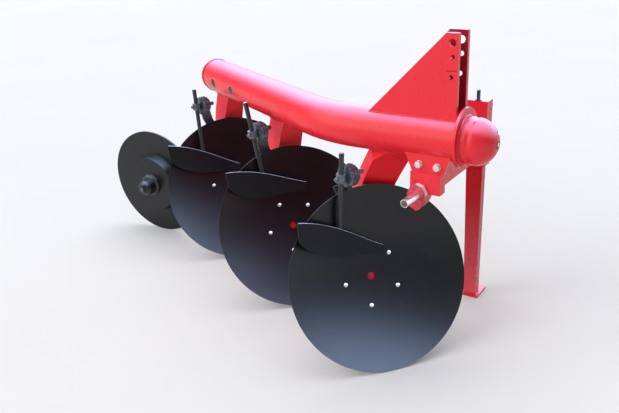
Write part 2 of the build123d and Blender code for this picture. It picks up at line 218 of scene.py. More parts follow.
# a screw thread: the radius falls by depth times a triangle wave of height over pitch less angle
# over a full turn, between a closed flat end and a tip drawn in to 82 hundredths
def thread(origin, direction, radius, length, pitch, depth, sides=36, rowsPerPitch=6):
    first, second, d = axes(direction)
    h = np.linspace(0, length, int(length / pitch * rowsPerPitch))[:, None]
    angle = fullTurn(sides)[None, :]
    wave = np.abs(((h / pitch - angle / (2 * math.pi)) % 1.0) * 2 - 1)
    tip = np.clip((length - h) / (1.5 * depth + 0.5), 0, 1)
    r = (radius - depth * wave) * (0.82 + 0.18 * tip)
    r[0], r[-1] = 0, 0
    h = h + 0 * angle
    h[-1], h[0] = h[-2], h[1]
    return origin + h[..., None] * d + r[..., None] * roundWays(angle, first, second), False


# a round section carried along a path: its radius swells by 1 + ripple * sin of the run over the
# step, as the laid drops of a weld do, with a slower sway so that no two are alike
def tube(path, radius, sides=10, closed=False, ripple=0.0, step=7.0, seed=0.0):
    swayShare, swayRate = 0.6, 0.83
    path = np.asarray(path, float)
    ahead = np.roll(path, -1, 0) - np.roll(path, 1, 0)
    if not closed:
        ahead[0], ahead[-1] = path[1] - path[0], path[-1] - path[-2]
    ahead /= np.linalg.norm(ahead, axis=1)[:, None]
    near = np.where(np.abs(ahead[:, 2:3]) > 0.9, [[1.0, 0.0, 0.0]], [[0.0, 0.0, 1.0]])
    first = near - (near * ahead).sum(1)[:, None] * ahead
    first /= np.linalg.norm(first, axis=1)[:, None]
    second = np.cross(ahead, first)
    run = np.concatenate([[0], np.cumsum(np.linalg.norm(np.diff(path, axis=0), axis=1))])
    drops = np.sin(2 * math.pi * run / step)
    sway = np.sin(run / step * swayRate + seed)
    r = radius * (1 + ripple * drops + swayShare * ripple * sway)[:, None]
    if not closed:
        r[0], r[-1] = 0, 0
    section = roundWays(fullTurn(sides), first[:, None], second[:, None])
    return path[:, None] + r[..., None] * section, closed


# even steps along a polyline by its run length, six at least
def resample(path, spacing, closed):
    path = np.asarray(path, float)
    if closed:
        path = np.vstack([path, path[:1]])
    run = np.concatenate([[0], np.cumsum(np.linalg.norm(np.diff(path, axis=0), axis=1))])
    at = np.linspace(0, run[-1], max(6, int(run[-1] / spacing)), endpoint=not closed)
    return np.stack([np.interp(at, run, path[:, i]) for i in range(3)], axis=1)


# a circle of points: centre + radius * (cos * first + sin * second)
def ring(centre, direction, radius, count=200):
    first, second, _ = axes(direction)
    return centre + radius * roundWays(fullTurn(count), first, second)


# the four corners of a rectangle in turn, from its two ranges
def corners(a, b):
    return [(a[0], b[0]), (a[1], b[0]), (a[1], b[1]), (a[0], b[1])]


seamSearch = {
    "grains": 1e5,        # corners are one where they round to the same grain, this many a metre
    "bend": 18.0,         # degrees between two faces at a sharp edge
    "reach": 0.35,        # millimetres from the neighbour's surface
}


# the closed line where a CAD solid meets a neighbour: the ends of its sharp edges that lie on
# that neighbour's surface, put in order by their angle about their middle
def seam(node, gapFrom, direction):
    mesh = nodes[node].data
    co = np.empty(len(mesh.vertices) * 3, np.float32)
    mesh.vertices.foreach_get("co", co)
    mesh.calc_loop_triangles()
    tri = np.empty(len(mesh.loop_triangles) * 3, np.int32)
    mesh.loop_triangles.foreach_get("vertices", tri)
    grains = np.round(co.reshape(-1, 3).astype(float) * seamSearch["grains"]).astype(np.int64)
    spots, index = np.unique(grains, axis=0, return_inverse=True)
    tri = index.reshape(-1)[tri].reshape(-1, 3)
    spots = spots / seamSearch["grains"]
    face = np.cross(spots[tri[:, 1]] - spots[tri[:, 0]], spots[tri[:, 2]] - spots[tri[:, 0]])
    keep = np.linalg.norm(face, axis=1) > 1e-12
    tri, face = tri[keep], face[keep]
    face /= np.linalg.norm(face, axis=1)[:, None]
    pairs = np.sort(np.concatenate([tri[:, [0, 1]], tri[:, [1, 2]], tri[:, [2, 0]]]), axis=1)
    owner = np.tile(np.arange(len(tri)), 3)
    order = np.lexsort((pairs[:, 1], pairs[:, 0]))
    pairs, owner = pairs[order], owner[order]
    same = (pairs[1:] == pairs[:-1]).all(1)
    cosine = (face[owner[1:]] * face[owner[:-1]]).sum(1)
    ends = np.unique(pairs[1:][same & (cosine < math.cos(math.radians(seamSearch["bend"])))])
    where = spots[ends] * 1000 + np.array([layout["originX"], layout["originY"], 0.0])
    where = where[np.abs(gapFrom(where)) < seamSearch["reach"]]
    first, second, _ = axes(direction)
    flat = where - where.mean(0)
    return where[np.argsort(np.arctan2(flat @ second, flat @ first))]


# signed distance of each point from the beam tube's outer surface
def fromBeam(points):
    front = np.hypot(points[:, 1] - layout["beamY"], points[:, 2] - layout["beamZ"])
    pole = np.linalg.norm((points - bendPole)[:, :2], axis=1)
    middle = np.hypot(pole - layout["bendR"], points[:, 2] - layout["beamZ"])
    rear = np.hypot((points - rearEnd) @ rearSide, points[:, 2] - layout["beamZ"])
    isFront = points[:, 0] > bendStart[0]
    isRear = (points - bendEnd) @ rearWay > 0
    return np.where(isFront, front, np.where(isRear, rear, middle)) - layout["beamR"]


# a function that gives the distance from a cylinder about disc k's axis
def fromAxis(k, radius):
    return lambda points: np.linalg.norm(np.cross(points - discCentre(k), normal), axis=1) - radius


# a function that gives the distance from a ball
def fromBall(centre, radius):
    return lambda points: np.linalg.norm(points - centre, axis=1) - radius


# an sRGB hex value to the linear colour that a shader reads
def linearColour(code):
    part = np.array([int(code[i:i + 2], 16) for i in (1, 3, 5)]) / 255.0
    line = np.where(part <= 0.04045, part / 12.92, ((part + 0.055) / 1.055) ** 2.4)
    return (*line.tolist(), 1.0)


# adds a node, sets its properties or sockets by name, and links its sockets
def addNode(tree, kind, settings=None, links=None):
    node = tree.nodes.new(kind)
    for name, value in (settings or {}).items():
        if isinstance(name, str) and hasattr(node, name):
            setattr(node, name, value)
        else:
            node.inputs[name].default_value = value
    for name, source in (links or {}).items():
        tree.links.new(source, node.inputs[name])
    return node


# places of a colour Mix node's sockets, because its names are shared
mixFactor, mixA, mixB, mixOut = 0, 6, 7, 2


# an empty material with its node tree, and where on the piece a point lies
def newMaterial(name):
    material = bpy.data.materials.new(name)
    material.use_nodes = True
    material.node_tree.nodes.clear()
    place = addNode(material.node_tree, "ShaderNodeTexCoord").outputs["Object"]
    return material, material.node_tree, place


# a colour that drifts between the two of a finish with a noise of a size in millimetres
def driftColour(tree, place, finish, millimetres, detail):
    noise = addNode(tree, "ShaderNodeTexNoise",
                    {"Scale": 1000 / millimetres, "Detail": detail}, {"Vector": place})
    mix = addNode(tree, "ShaderNodeMix",
                  {"data_type": "RGBA", mixA: linearColour(finish["colour"]),
                   mixB: linearColour(finish["shade"])}, {mixFactor: noise.outputs["Fac"]})
    return mix.outputs[mixOut]


# the end that paints and steels share: a roughness that strays to both sides with the grain, a
# bump of the relief's height, the shader and the output
def closeMaterial(tree, finish, settings, colour, grain, relief):
    low, high = (finish["rough"] + stray for stray in finish["stray"])
    rough = addNode(tree, "ShaderNodeMapRange", {"To Min": low, "To Max": high},
                    {"Value": grain.outputs["Fac"]})
    bump = addNode(tree, "ShaderNodeBump",
                   {"Strength": finish["bump"], "Distance": finish["bumpHeight"]},
                   {"Height": relief.outputs["Fac"]})
    shader = addNode(tree, "ShaderNodeBsdfPrincipled", settings,
                     {"Base Color": colour, "Roughness": rough.outputs[0],
                      "Normal": bump.outputs[0]})
    addNode(tree, "ShaderNodeOutputMaterial", links={"Surface": shader.outputs[0]})


# values of a paint that gives none of its own: no lacquer over it, the part of the dust and sheen
# noise that shows, how far the roughness strays to each side, and the peel's height in metres
paintBase = {
    "coat": 0.0,
    "coatRough": 0.2,
    "coatIor": 1.4,
    "dustAndSheenSpan": (0.56, 0.8),
    "stray": (-0.04, 0.07),
    "bumpHeight": 0.0006,
}


# sprayed paint on steel: colour drifts over hand widths, a fine orange peel lifts the gloss, and
# thin dust sits in a coarse noise, which on the knuckles is a painted sheen of the sky instead;
# where asked, a tint comes in by the face's normal or by the place along a way, which on the mast,
# beam and legs is painted light and shade
def paintMaterial(name, finish, tint=None):
    finish = {**paintBase, **finish}
    material, tree, place = newMaterial(name)
    body = driftColour(tree, place, finish, finish["driftMm"], 2.0)
    dustAndSheen = addNode(tree, "ShaderNodeTexNoise",
                   {"Scale": 1000 / finish["dustAndSheenMm"], "Detail": 6.0, "Roughness": 0.65},
                   {"Vector": place})
    share = addNode(tree, "ShaderNodeMapRange",
                    {"From Min": finish["dustAndSheenSpan"][0], "From Max": finish["dustAndSheenSpan"][1],
                     "To Max": finish["dustAndSheenShare"]}, {"Value": dustAndSheen.outputs["Fac"]})
    colour = addNode(tree, "ShaderNodeMix",
                     {"data_type": "RGBA", mixB: linearColour(finish["dustAndSheen"])},
                     {mixFactor: share.outputs[0], mixA: body})
    if tint:
        facing = addNode(tree, "ShaderNodeNewGeometry").outputs["Normal"]
        along = addNode(tree, "ShaderNodeVectorMath", {"operation": "DOT_PRODUCT", 1: tint["way"]},
                        {0: facing if tint["by"] == "normal" else place})
        part = addNode(tree, "ShaderNodeMapRange",
                       {"From Min": tint["from"], "From Max": tint["to"]},
                       {"Value": along.outputs["Value"]})
        colour = addNode(tree, "ShaderNodeMix",
                         {"data_type": "RGBA", mixB: linearColour(tint["colour"])},
                         {mixFactor: part.outputs[0], mixA: colour.outputs[mixOut]})
    peel = addNode(tree, "ShaderNodeTexNoise",
                   {"Scale": 1000 / finish["peelMm"], "Detail": 1.5}, {"Vector": place})
    settings = {"IOR": finish["ior"], "Coat Weight": finish["coat"],
                "Coat Roughness": finish["coatRough"], "Coat IOR": finish["coatIor"]}
    closeMaterial(tree, finish, settings, colour.outputs[mixOut], dustAndSheen, peel)
    return material


# how far a steel's roughness strays to each side, and the strength and height of its scratches
steelBase = {"stray": (-0.08, 0.12), "bump": 0.25, "bumpHeight": 0.0003}


# bare or plated steel: metallic, with a grain of fine scratches and a slow cloud of tarnish
def steelMaterial(name, finish):
    finish = {**steelBase, **finish}
    material, tree, place = newMaterial(name)
    colour = driftColour(tree, place, finish, finish["cloudMm"], 3.0)
    grain = addNode(tree, "ShaderNodeTexNoise",
                    {"Scale": 1000 / finish["grainMm"], "Detail": 4.0}, {"Vector": place})
    closeMaterial(tree, finish, {"Metallic": 1.0}, colour, grain, grain)
    return material


# gloss alkyd enamel sprayed on blasted steel: vivid red with a wet shine over a faint orange peel,
# drawn at 12 mm so that it shows
redFinish = {
    "colour": "#E42632", "shade": "#DA212E", "driftMm": 260.0,
    "dustAndSheen": "#D98A92", "dustAndSheenMm": 45.0, "dustAndSheenShare": 0.03,
    "rough": 0.27, "peelMm": 12.0, "bump": 0.08, "ior": 1.4}
redEnamel = paintMaterial("glossRedEnamel", redFinish)
# the same enamel with painted shade on the inner faces between the mast plates: a dark red tint by
# the face's normal
mastLeftPaintedShade, mastRightPaintedShade = [
    paintMaterial(name, redFinish, {
        "by": "normal", "way": (0, way, 0), "from": 0.6, "to": 0.9, "colour": "#8E141C"})
    for name, way in (("enamelPaintedShadeInsideLeft", -1), ("enamelPaintedShadeInsideRight", 1))]
# the same enamel on the beam, with a painted pink highlight on its upper side
beamEnamelPaintedHighlight = paintMaterial("redEnamelPaintedTopHighlight", redFinish, {
    "by": "normal", "way": (0, 0, 1), "from": 0.5, "to": 0.8, "colour": "#EE5C7C"})
# a deeper red on the sliding post as painted shade, and paler towards its foot
postPaintedShadeEnamel = paintMaterial("deepRedPostPaintedShade", dict(redFinish, colour="#BC1A23", shade="#B2161F"), {
    "by": "place", "way": (0, 0, -1), "from": -0.42, "to": -0.02, "colour": "#DC4E5A"})
# enamel on the welded legs: the same red with a duller face, with painted light making it paler
# where it looks back and right
legEnamelPaintedLight = paintMaterial("dullRedLegPaintedLight", {
    "colour": "#EC1F2B", "shade": "#E01B27", "driftMm": 160.0,
    "dustAndSheen": "#D07A76", "dustAndSheenMm": 45.0, "dustAndSheenShare": 0.02,
    "rough": 0.36, "peelMm": 6.0, "bump": 0.08, "ior": 1.22}, {
    "by": "normal", "way": (-0.8, -0.6, 0.0), "from": 0.1, "to": 0.9, "colour": "#F24654"})
# enamel chipped and rubbed by the links on the two crank plates: dirty pink with pale scars
crankEnamel = paintMaterial("rubbedCrankEnamel", {
    "colour": "#D03A4A", "shade": "#B02636", "driftMm": 22.0,
    "dustAndSheen": "#EBD3D2", "dustAndSheenMm": 16.0, "dustAndSheenShare": 0.75,
    "rough": 0.34, "peelMm": 4.0, "bump": 0.2, "ior": 1.45, "coat": 0.1})
# dipped black enamel on rolled disc steel: near black, with a broad sheen where it faces the sky
blackEnamel = paintMaterial("dippedBlackEnamel", {
    "colour": "#101013", "shade": "#0C0C0F", "driftMm": 180.0,
    "dustAndSheen": "#4A4D55", "dustAndSheenMm": 60.0, "dustAndSheenShare": 0.1,
    "rough": 0.3, "peelMm": 5.0, "bump": 0.06, "ior": 1.42})
# thin black dip on pressed blades: duller than the discs
bladeBlack = paintMaterial("thinBlackDip", {
    "colour": "#131316", "shade": "#0F0F12", "driftMm": 120.0,
    "dustAndSheen": "#3A3C42", "dustAndSheenMm": 40.0, "dustAndSheenShare": 0.1,
    "rough": 0.42, "peelMm": 4.0, "bump": 0.1, "ior": 1.3})
# black enamel on the scraper knuckles, painted blue-grey with pale blue spots: a painted sheen of
# the sky
knucklePaintedSheen = paintMaterial("knuckleBlackPaintedSheen", {
    "colour": "#505A68", "shade": "#2A2E36", "driftMm": 22.0,
    "dustAndSheen": "#B4BFD0", "dustAndSheenMm": 14.0, "dustAndSheenShare": 0.8,
    "rough": 0.32, "peelMm": 3.0, "bump": 0.2, "ior": 1.7, "coat": 0.4, "coatIor": 1.45})
# black enamel brushed on castings and bars: a little greyer, with a blue glint on its tops
castBlack = paintMaterial("brushedBlackCasting", {
    "colour": "#202126", "shade": "#17181C", "driftMm": 40.0,
    "dustAndSheen": "#666A74", "dustAndSheenMm": 16.0, "dustAndSheenShare": 0.16,
    "rough": 0.33, "peelMm": 3.0, "bump": 0.22, "ior": 1.45,
    "coat": 0.3, "coatRough": 0.22, "coatIor": 1.45})
# bright zinc plate on bolts and nuts: pale silver with a soft, slightly cloudy shine
zincPlate = steelMaterial("brightZincPlate", {
    "colour": "#F2EFEA", "shade": "#DAD8D4", "cloudMm": 9.0, "grainMm": 0.9, "rough": 0.36})
# dull yellowed zinc on the clamp bolts: creamy, browner in its hollows
dullZinc = steelMaterial("dullYellowedZinc", {
    "colour": "#F6EEE6", "shade": "#C2B4A8", "cloudMm": 7.0, "grainMm": 1.0, "rough": 0.42})
# steel rubbed bare by the link's eye, painted near-white and matt as a highlight on the crank's
# upper and right facets, with brown freckles
rubbedSteelPaintedHighlight = paintMaterial("rubbedBarePaintedHighlight", {
    "colour": "#F2ECEA", "shade": "#E4DAD8", "driftMm": 9.0,
    "dustAndSheen": "#9C6E66", "dustAndSheenMm": 7.0, "dustAndSheenShare": 0.5,
    "rough": 0.45, "peelMm": 2.0, "bump": 0.25, "ior": 1.45})
# turned and plated pin steel: brighter and smoother than the bolts
pinSteel = steelMaterial("turnedPinSteel", {
    "colour": "#F4F3F1", "shade": "#E2E2E0", "cloudMm": 14.0, "grainMm": 1.2, "rough": 0.27})
# sawn end of a bar: dull brown-grey steel
sawnSteel = steelMaterial("sawnSteel", {
    "colour": "#8B8279", "shade": "#675D55", "cloudMm": 7.0, "grainMm": 0.9, "rough": 0.55})
# bore of a flame-cut hole: rusty brown scale
rustScale = paintMaterial("rustyCutScale", {
    "colour": "#BEAA94", "shade": "#8C7664", "driftMm": 8.0,
    "dustAndSheen": "#D0C0AA", "dustAndSheenMm": 5.0, "dustAndSheenShare": 0.5,
    "rough": 0.8, "peelMm": 2.0, "bump": 0.5, "ior": 1.3})
# black oxide on high tensile bolts: nearly black, oily, with grey thread tips; on the nose washer
# the same black is painted shade, the dark gap round the bolt
blackOxideAndNoseShade = steelMaterial("blackOxideSteelAndPaintedShade", {
    "colour": "#3A3B3E", "shade": "#26272A", "cloudMm": 6.0, "grainMm": 0.8, "rough": 0.42})
# weld bead under the red coat: the same enamel, lumpier and a little darker in its folds
redWeld = paintMaterial("enamelOverWeld", {
    "colour": "#E4222C", "shade": "#C81B26", "driftMm": 12.0,
    "dustAndSheen": "#C9746F", "dustAndSheenMm": 18.0, "dustAndSheenShare": 0.1,
    "rough": 0.3, "peelMm": 3.0, "bump": 0.3, "ior": 1.4, "coat": 0.25})
# dark dull red lines: painted shade in the seam at the beam's end cap, and a dark score line on the
# mast plate
seamShadeAndScoreLine = paintMaterial("seamPaintedShadeAndScore", {
    "colour": "#5A1016", "shade": "#3C0A10", "driftMm": 15.0,
    "dustAndSheen": "#7A4A46", "dustAndSheenMm": 12.0, "dustAndSheenShare": 0.1,
    "rough": 0.7, "peelMm": 3.0, "bump": 0.2, "ior": 1.1})
# ground edge of a blade: grey steel where the wheel cut through the black
groundEdge = steelMaterial("groundBladeEdge", {
    "colour": "#A9A5A3", "shade": "#8A8785", "cloudMm": 20.0, "grainMm": 1.0, "rough": 0.5})
print("materials ready")


# makes a piece of its grids, and gives it its material, its slot and the body that it rides on
def addPiece(name, grids, material, body="frame", sharp=32, replaced=()):
    obj = collectGrids(name, grids, sharp)
    obj.data.materials.append(material)
    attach(obj, body)
    if replaced:
        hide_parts(*replaced)
    ownPieces.append(name)


# CAD nodes keep their shape; those named here have a finish of their own, the rest the red enamel
nodeFinish = {
    "beam_tube": beamEnamelPaintedHighlight, "beam_end_cap": beamEnamelPaintedHighlight, "front_flange": beamEnamelPaintedHighlight,
    "mast_plate_left": mastLeftPaintedShade, "mast_plate_right": mastRightPaintedShade,
    "crank_plate_left": crankEnamel, "crank_plate_right": crankEnamel,
    "link_pin_left": pinSteel, "link_pin_right": pinSteel, "tail_axle": pinSteel,
    "stand_post": postPaintedShadeEnamel, "tail_wheel": blackEnamel, "tail_hub": castBlack,
}
for k in (1, 2, 3):
    nodeFinish.update({
        f"disc_{k}": blackEnamel, f"leg_{k}": legEnamelPaintedLight, f"scraper_blade_{k}": bladeBlack,
        f"scraper_bracket_{k}": knucklePaintedSheen, f"scraper_rod_{k}": castBlack})
for name, node in nodes.items():
    finish = nodeFinish.get(name, redEnamel)
    if node.material_slots:
        for place in node.material_slots:
            place.material = finish
    else:
        node.data.materials.append(finish)
print("frame nodes dressed:", len(nodes))

# discs: a dish with a ground edge, bolted through its flange
discFace = {
    "bore": 14.0,
    "bevel": 26.0,        # width of the taper on the round side
    "edge": 1.8,          # steel left at the very rim
    "rimIn": (1.2, 0.4),  # how far the front and the back stop short of the rim
    "rings": (26, 30),    # grid rings on the front and on the back
    "bolts": 5,
    "boltCircle": 105.0,
    "firstBolt": (-172.0, -170.5, -121.0),   # degrees up the face, one for each disc
    "headR": 8.5,
    "headH": 5.0,
    "washer": (12.0, 2.5),
    "nutFlats": 19.0,
    "nutH": 10.0,
    "nutLift": 2.2,       # the nuts start a little inside their washers
    "shank": (5.6, 4.4),  # radius and length past the nut
    "flangeBack": 98.0,
}


# front face on a ball of the dish radius, back face on one a plate's thickness wider, the back
# drawn in to a thin edge over the bevel's width
def makeDisc(k):
    bore, rim, bevel = discFace["bore"], layout["discR"], discFace["bevel"]
    front = np.linspace(bore, rim - discFace["rimIn"][0], discFace["rings"][0])
    back = np.linspace(rim - discFace["rimIn"][1], bore, discFace["rings"][1])
    share = np.clip((back - (rim - bevel)) / bevel, 0, 1)
    thick = layout["discT"] + (discFace["edge"] - layout["discT"]) * share
    profile = np.concatenate([np.stack([front, dishHeight(front, dishR)], 1),
                              np.stack([back, dishHeight(back, dishR + thick)], 1)])
    return [lathe(discCentre(k), normal, profile, 144, closed=True)]


# low round heads on the hollow side, each square to the dish, with washers and hexagon nuts
# behind the hub flange
def makeDiscBolts(k):
    grids = []
    headR, headH, circle = discFace["headR"], discFace["headH"], discFace["boltCircle"]
    nutH, lift = discFace["nutH"], discFace["nutLift"]
    dome = [(0, -0.5), (headR, -0.5), (headR, 0.8), (0.93 * headR, 0.45 * headH),
            (0.75 * headR, 0.75 * headH), (0.45 * headR, 0.95 * headH), (0, headH)]
    ball = onDisc(k, 0, 0, dishCentre)
    for i in range(discFace["bolts"]):
        angle = math.radians(discFace["firstBolt"][k] + i * 360.0 / discFace["bolts"])
        a, u = circle * math.cos(angle), circle * math.sin(angle)
        seat = onDisc(k, a, u, dishHeight(circle, dishR))
        nut = onDisc(k, a, u, -discFace["flangeBack"])
        grids += [lathe(seat, ball - seat, dome, 20), washerAt(nut, -normal, *discFace["washer"]),
                  hexHead(nut - lift * normal, -normal, discFace["nutFlats"], nutH, 17.0 * i),
                  stubAt(nut - (lift + nutH) * normal, -normal, *discFace["shank"])]
    return grids


for k in range(3):
    body = f"disc_{k + 1}_body"
    addPiece(f"disc_plate_{k + 1}", makeDisc(k), blackEnamel, body, sharp=30,
             replaced=[f"disc_{k + 1}"])
    addPiece(f"disc_bolts_{k + 1}", makeDiscBolts(k), zincPlate, body)
print("discs and their bolts")

# bearing housings: a bolted cap on the back end, a grease nipple, and a seal ring at the front
housing = {
    "radius": 62.0,
    "front": -106.0,      # where the ends and the nipple lie along the axis, off the rim plane
    "back": -214.0,
    "nippleAt": -178.0,
    "capR": 54.0,
    "capT": 7.0,
    # profiles of radius and height: the cap's middle over its face, the seal, the nipple
    "dome": ((30, 0), (28, 1), (26, 5), (22, 7.5), (12, 9), (0, 9.4)),
    "seal": ((56, -0.5), (61.2, -0.5), (61.2, 3.2), (59, 4.6), (56, 4.6)),
    "nipple": ((0, -1), (6.5, -1), (6.5, 4), (4.2, 4.6), (3.2, 9), (4.0, 11), (3.6, 13), (0, 13.6)),
    "bolts": 6,
    "boltCircle": 44.0,
    "boltFlats": 13.0,
    "boltH": 6.0,
    "boltSunk": 0.3,
}


# cap: a stepped disc with a domed middle, lathed on the housing's axis, and the seal's ring
def makeHousingCap(k):
    r, t = housing["capR"], housing["capT"]
    profile = [(0, -1), (r - 1, -1), (r, 0.5), (r, t - 1.5), (r - 1.5, t)]
    profile += [(radius, t + rise) for radius, rise in housing["dome"]]
    return [lathe(onDisc(k, 0, 0, housing["back"]), -normal, profile, 64),
            lathe(onDisc(k, 0, 0, housing["front"]), normal, housing["seal"], 64, closed=True)]


# cap bolts round the circle, and the nipple square to the housing's lower side
def makeHousingBolts(k):
    grids = []
    seatAt = housing["back"] - housing["capT"] + housing["boltSunk"]
    for i in range(housing["bolts"]):
        angle = (i + 0.5) * 2 * math.pi / housing["bolts"]
        a, u = housing["boltCircle"] * math.cos(angle), housing["boltCircle"] * math.sin(angle)
        grids.append(hexHead(onDisc(k, a, u, seatAt), -normal, housing["boltFlats"],
                             housing["boltH"], 11.0 * i))
    foot = onDisc(k, 0, 0, housing["nippleAt"]) + housing["radius"] * -upFace
    return grids + [lathe(foot, -upFace, housing["nipple"], 18)]


for k in range(3):
    addPiece(f"housing_cap_{k + 1}", makeHousingCap(k), redEnamel)
    addPiece(f"housing_bolts_{k + 1}", makeHousingBolts(k), zincPlate)
print("bearing housing caps")

# welds: rippled beads where plates, legs and housings join
weld = {
    "step": 7.5,          # from one laid drop to the next
    "ripple": 0.16,
    "spacing": 2.2,
    "legR": 4.6,
    "housingR": 3.6,
    "ringR": 3.8,
    "mastR": 2.8,
    "crossR": 4.0,
    "blockR": 2.4,
    "footR": 2.6,
}


# a weld bead along a path
def bead(path, radius, closed, seed=0.0):
    return tube(resample(path, weld["spacing"], closed), radius, 10, closed, weld["ripple"],
                weld["step"], seed)


for k in range(3):
    leg = f"leg_{k + 1}"
    paths = ((seam(leg, fromBeam, up), weld["legR"]),
             (seam(leg, fromAxis(k, housing["radius"]), up), weld["housingR"]))
    grids = [bead(path, radius, True, 1.7 * k) for path, radius in paths if len(path) > 3]
    addPiece(f"leg_weld_{k + 1}", grids, redWeld, sharp=60)

# rings at the two ends of the beam: how far along from the end, and the radius
beamRings = {
    "front": ((-10.5, 76.5), (0.8, 80.5)),
    "capSeam": (-11.0, 74.5),
    "capSeamR": 2.4,
}
endGrids = [bead(ring(beamTip + [off, 0, 0], (1, 0, 0), radius), weld["ringR"], True, 2.0 * i)
            for i, (off, radius) in enumerate(beamRings["front"])]
addPiece("beam_end_welds", endGrids, redWeld, sharp=60)
seamOff, seamRing = beamRings["capSeam"]
# a dark red ring of painted shade in the seam at the end cap
capSeam = tube(ring(rearEnd + seamOff * rearWay, rearWay, seamRing), beamRings["capSeamR"], 8, True)
addPiece("end_cap_seam", [capSeam], seamShadeAndScoreLine, sharp=60)

# along the feet of the mast plates, and a scored line on the near plate
mastFoot = {
    "rear": -96.0,
    "front": 224.0,
    "lines": ((104.0, 870.9), (120.0, 876.8), (180.0, 866.1), (196.0, 851.5)),
    "score": ((178.0, 103.9, 1029.0), (214.0, 103.9, 1032.5)),
    "scoreR": 0.9,
}
mastGrids = [bead([(mastFoot["rear"], y, z), (mastFoot["front"], y, z)], weld["mastR"], False, i)
             for i, (y, z) in enumerate(mastFoot["lines"])]
addPiece("mast_welds", mastGrids, redWeld, sharp=60)
scoreLine = tube(resample(mastFoot["score"], 2.0, False), mastFoot["scoreR"], 8)
addPiece("mast_score", [scoreLine], seamShadeAndScoreLine, sharp=60)

# round the cross tube at the stand's sleeve, along the clamp block's top, round the stand's foot
headWelds = {
    "crossX": (103.0, 183.0),
    "crossZ": (650.0, 730.0),
    "sleeveY": 560.0,
    "blockLine": ((79.0, 80.0, 694.0), (179.0, 80.0, 694.0)),
    "footX": (94.5, 146.0),
    "footY": (570.0, 606.0),
    "footZ": 8.0,
}
crossLoop = [(x, headWelds["sleeveY"], z)
             for x, z in corners(headWelds["crossX"], headWelds["crossZ"])]
addPiece("head_welds", [bead(crossLoop, weld["crossR"], True),
                        bead(headWelds["blockLine"], weld["blockR"], False, 2.0)],
         redWeld, sharp=60)
footLoop = [(x, y, headWelds["footZ"]) for x, y in corners(headWelds["footX"], headWelds["footY"])]
addPiece("foot_weld", [bead(footLoop, weld["footR"], True)], redWeld, "stand_body", sharp=60)
print("weld beads")

# bare mouths of the two holes through the rear of the beam
rearHoles = {
    "back": (131.0, 326.0),
    "drop": 8.0,
    "radius": 22.0,
    "skin": (0.05, 0.8),  # how far the skin's two faces lie inside the hole
    "inset": 0.4,         # how far its ends lie inside the beam's surface
    "lip": 1.3,
    "lipOut": 0.2,
}


# points round a hole at radius r, on one side of the beam: the reach out from the beam's axis is
# the root of beamR squared less the square of the height off that axis, less the inset
def holeRing(root, r, side, inset):
    angle = fullTurn(60)
    height = r * np.sin(angle) - rearHoles["drop"]
    reach = np.sqrt(layout["beamR"] ** 2 - height ** 2) - inset
    return (root + (r * np.cos(angle))[:, None] * rearWay + (side * reach)[:, None] * rearSide
            + (r * np.sin(angle))[:, None] * up)


# a thin skin inside each hole, and a rounded lip round each of its mouths
def makeHoleSkins():
    grids = []
    outer, inner = (rearHoles["radius"] - shrink for shrink in rearHoles["skin"])
    for back in rearHoles["back"]:
        root = rearEnd - rearWay * back - rearHoles["drop"] * up
        walls = [holeRing(root, r, side, rearHoles["inset"])
                 for side, r in ((1, outer), (-1, outer), (-1, inner), (1, inner))]
        grids.append((np.stack(walls), True))
        for side in (1, -1):
            mouth = holeRing(root, rearHoles["radius"] + rearHoles["lipOut"], side, 0.0)
            grids.append(tube(mouth, rearHoles["lip"], 8, True))
    return grids


addPiece("rear_hole_skins", makeHoleSkins(), rustScale, sharp=50)
print("rear holes")

# the clamp's bolts, the link pins and the stand's stud on the head of the plough
head = {
    "clampBolts": ((103.0, 721.0), (168.0, 719.0)),
    "clampY": 80.0,
    "clampWasher": (12.5, 2.5),
    "bolt": (21.0, 11.0),     # flats and height
    "boltLift": 2.4,
    "pinX": 112.0,
    "pinY": 54.0,
    "pinZ": 625.0,
    "pinLen": 88.0,
    "droop": 3.0,         # degrees below level
    "swing": 4.0,         # degrees towards the rear
    "span": 683.0,        # between the two pins' shoulders
    "collarR": 20.0,
    "collarH": 5.0,
    # radius and height of the pin's sawn end
    "endFace": ((0, -0.2), (11.8, -0.2), (11.8, 0.5), (11.0, 0.8), (0, 0.8)),
    # run of the crank's outline that the link rubs, about the pin, and its depths off the face
    "worn": ((-10.0, 31.0), (-4.0, 31.0), (15.0, 26.0), (27.0, 4.0), (25.9, -4.0)),
    "wornSkin": (0.7, 0.6),
    "wornDepth": (1.5, 17.0),
    "studAt": (115.0, 571.0, 827.0),
    "studR": 7.6,
    "studH": 41.0,
    "studPitch": 2.6,     # coarser than the real thread, so that it shows
    "studDepth": 1.2,
    "studWasher": (13.0, 2.4),
}

clampGrids = []
for i, (x, z) in enumerate(head["clampBolts"]):
    seat = np.array([x, head["clampY"], z])
    clampGrids += [washerAt(seat, (0, -1, 0), *head["clampWasher"]),
                   hexHead(seat - [0, head["boltLift"], 0], (0, -1, 0), *head["bolt"],
                           12 + 25 * i)]
addPiece("clamp_bolts", clampGrids, dullZinc)

droop, swing = math.radians(head["droop"]), math.radians(head["swing"])
pinWay = np.array([-math.sin(swing) * math.cos(droop), -math.cos(swing) * math.cos(droop),
                   -math.sin(droop)])
pinRoot = np.array([head["pinX"], head["pinY"], head["pinZ"]])
farRoot = pinRoot + np.array([0, head["span"], 0])
faceX = unit(np.array([1.0, 0, 0]) - pinWay[0] * pinWay)
faceY = np.cross(pinWay, faceX)

